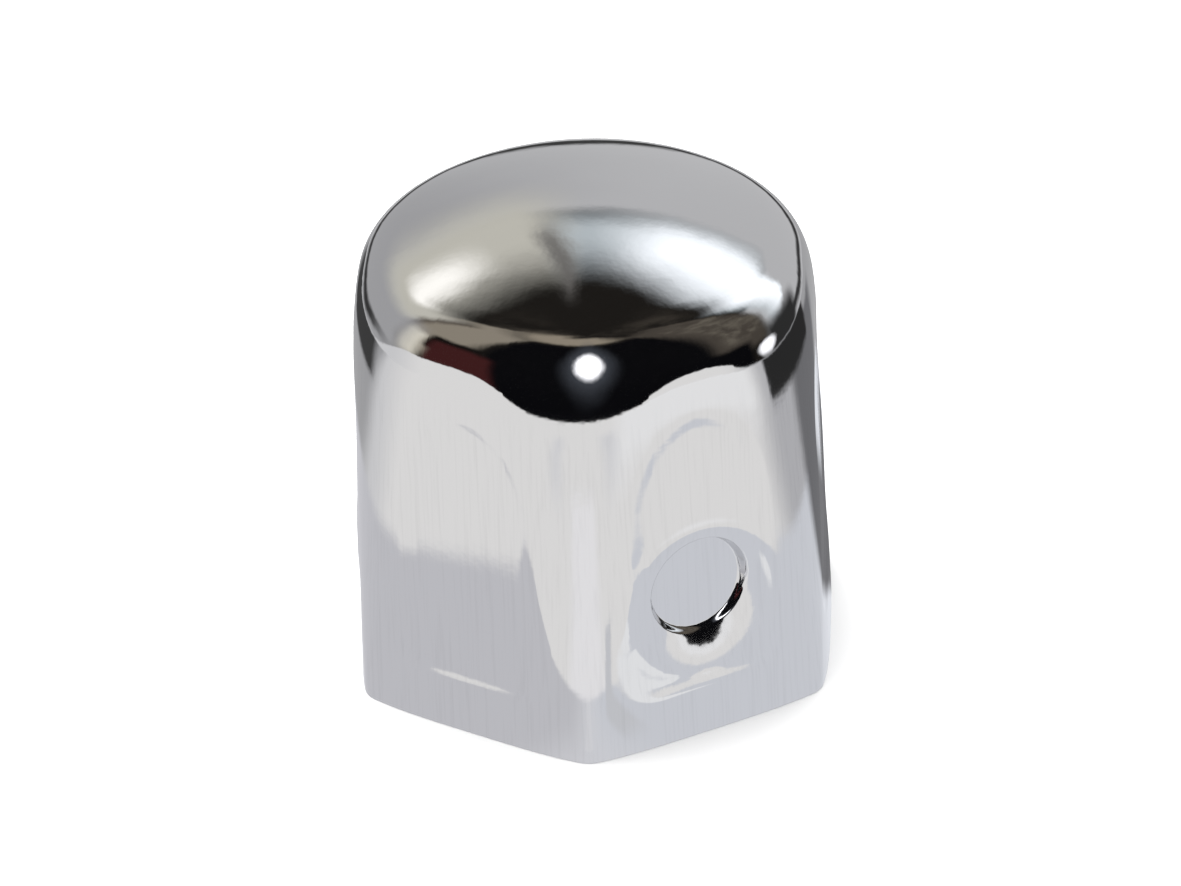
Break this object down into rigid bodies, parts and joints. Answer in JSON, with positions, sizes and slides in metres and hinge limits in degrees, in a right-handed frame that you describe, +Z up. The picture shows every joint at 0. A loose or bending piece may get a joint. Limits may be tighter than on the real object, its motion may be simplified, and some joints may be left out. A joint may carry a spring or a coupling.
{
  "type": "wheel nut cover cap",
  "caption": "Hexagonal domed cap of drawn, chrome-plated sheet that pushes over a wheel nut to cover it, with dimples pressed into alternate flats to grip the nut.",
  "frame": {"origin": "middle of the open rim, in the plane that the cap stands on", "axes": "+Z up the cap's axis through the dome; a corner of the hexagon faces -Y and flats face +X and -X"},
  "size_m": [0.0206, 0.0228, 0.0215],
  "materials": {
    "chrome_sheet": "bright chrome plate on drawn sheet steel, with faint vertical drawing lines on the flats"
  },
  "bodies": {
    "root": {"cap": "chrome_sheet"}
  },
  "joints": []
}
